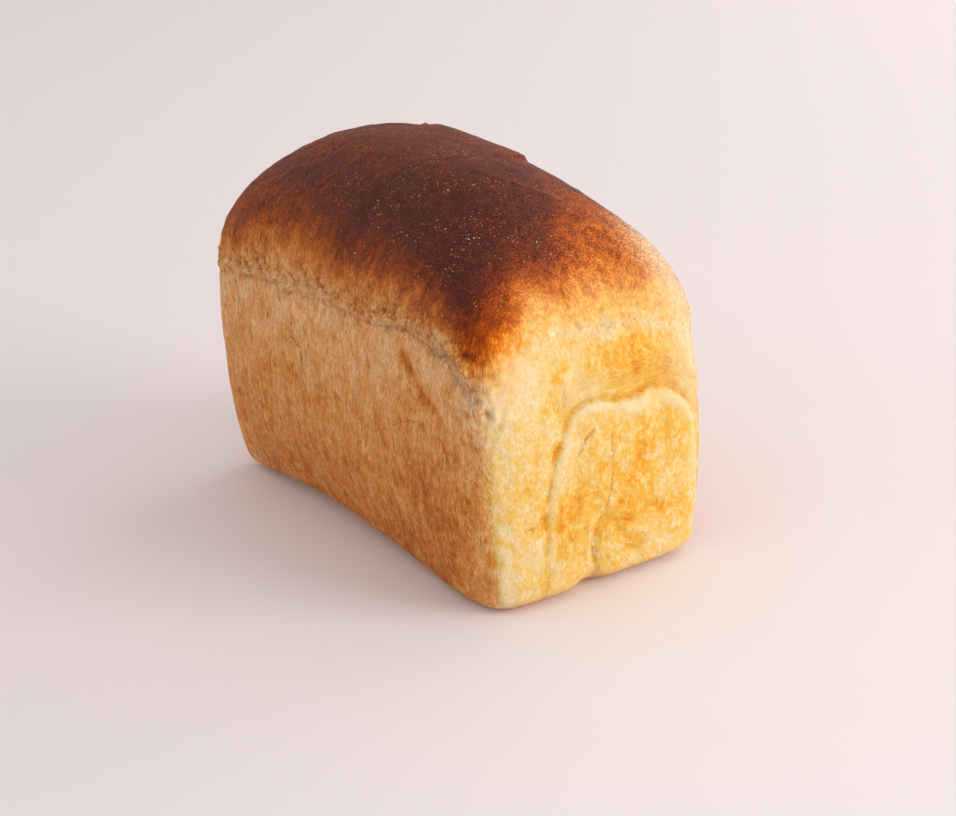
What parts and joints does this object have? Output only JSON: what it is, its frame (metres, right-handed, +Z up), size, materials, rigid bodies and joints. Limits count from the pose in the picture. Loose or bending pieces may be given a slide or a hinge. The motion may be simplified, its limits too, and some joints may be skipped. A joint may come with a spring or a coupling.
{
  "type": "white sandwich loaf",
  "caption": "Whole white tin loaf with a dark domed crown, a torn rim line, pale golden walls and folded dough on its end.",
  "frame": {"origin": "middle of the base's bounding box, on the surface it rests on", "axes": "+X along the loaf towards the boldly folded end, +Y across it, +Z up"},
  "size_m": [0.2258, 0.1206, 0.1681],
  "materials": {
    "crust": "baked bread crust, golden and matt on the walls, dark brown with a soft sheen on the crown"
  },
  "bodies": {
    "root": {"loaf": "crust"}
  },
  "joints": []
}
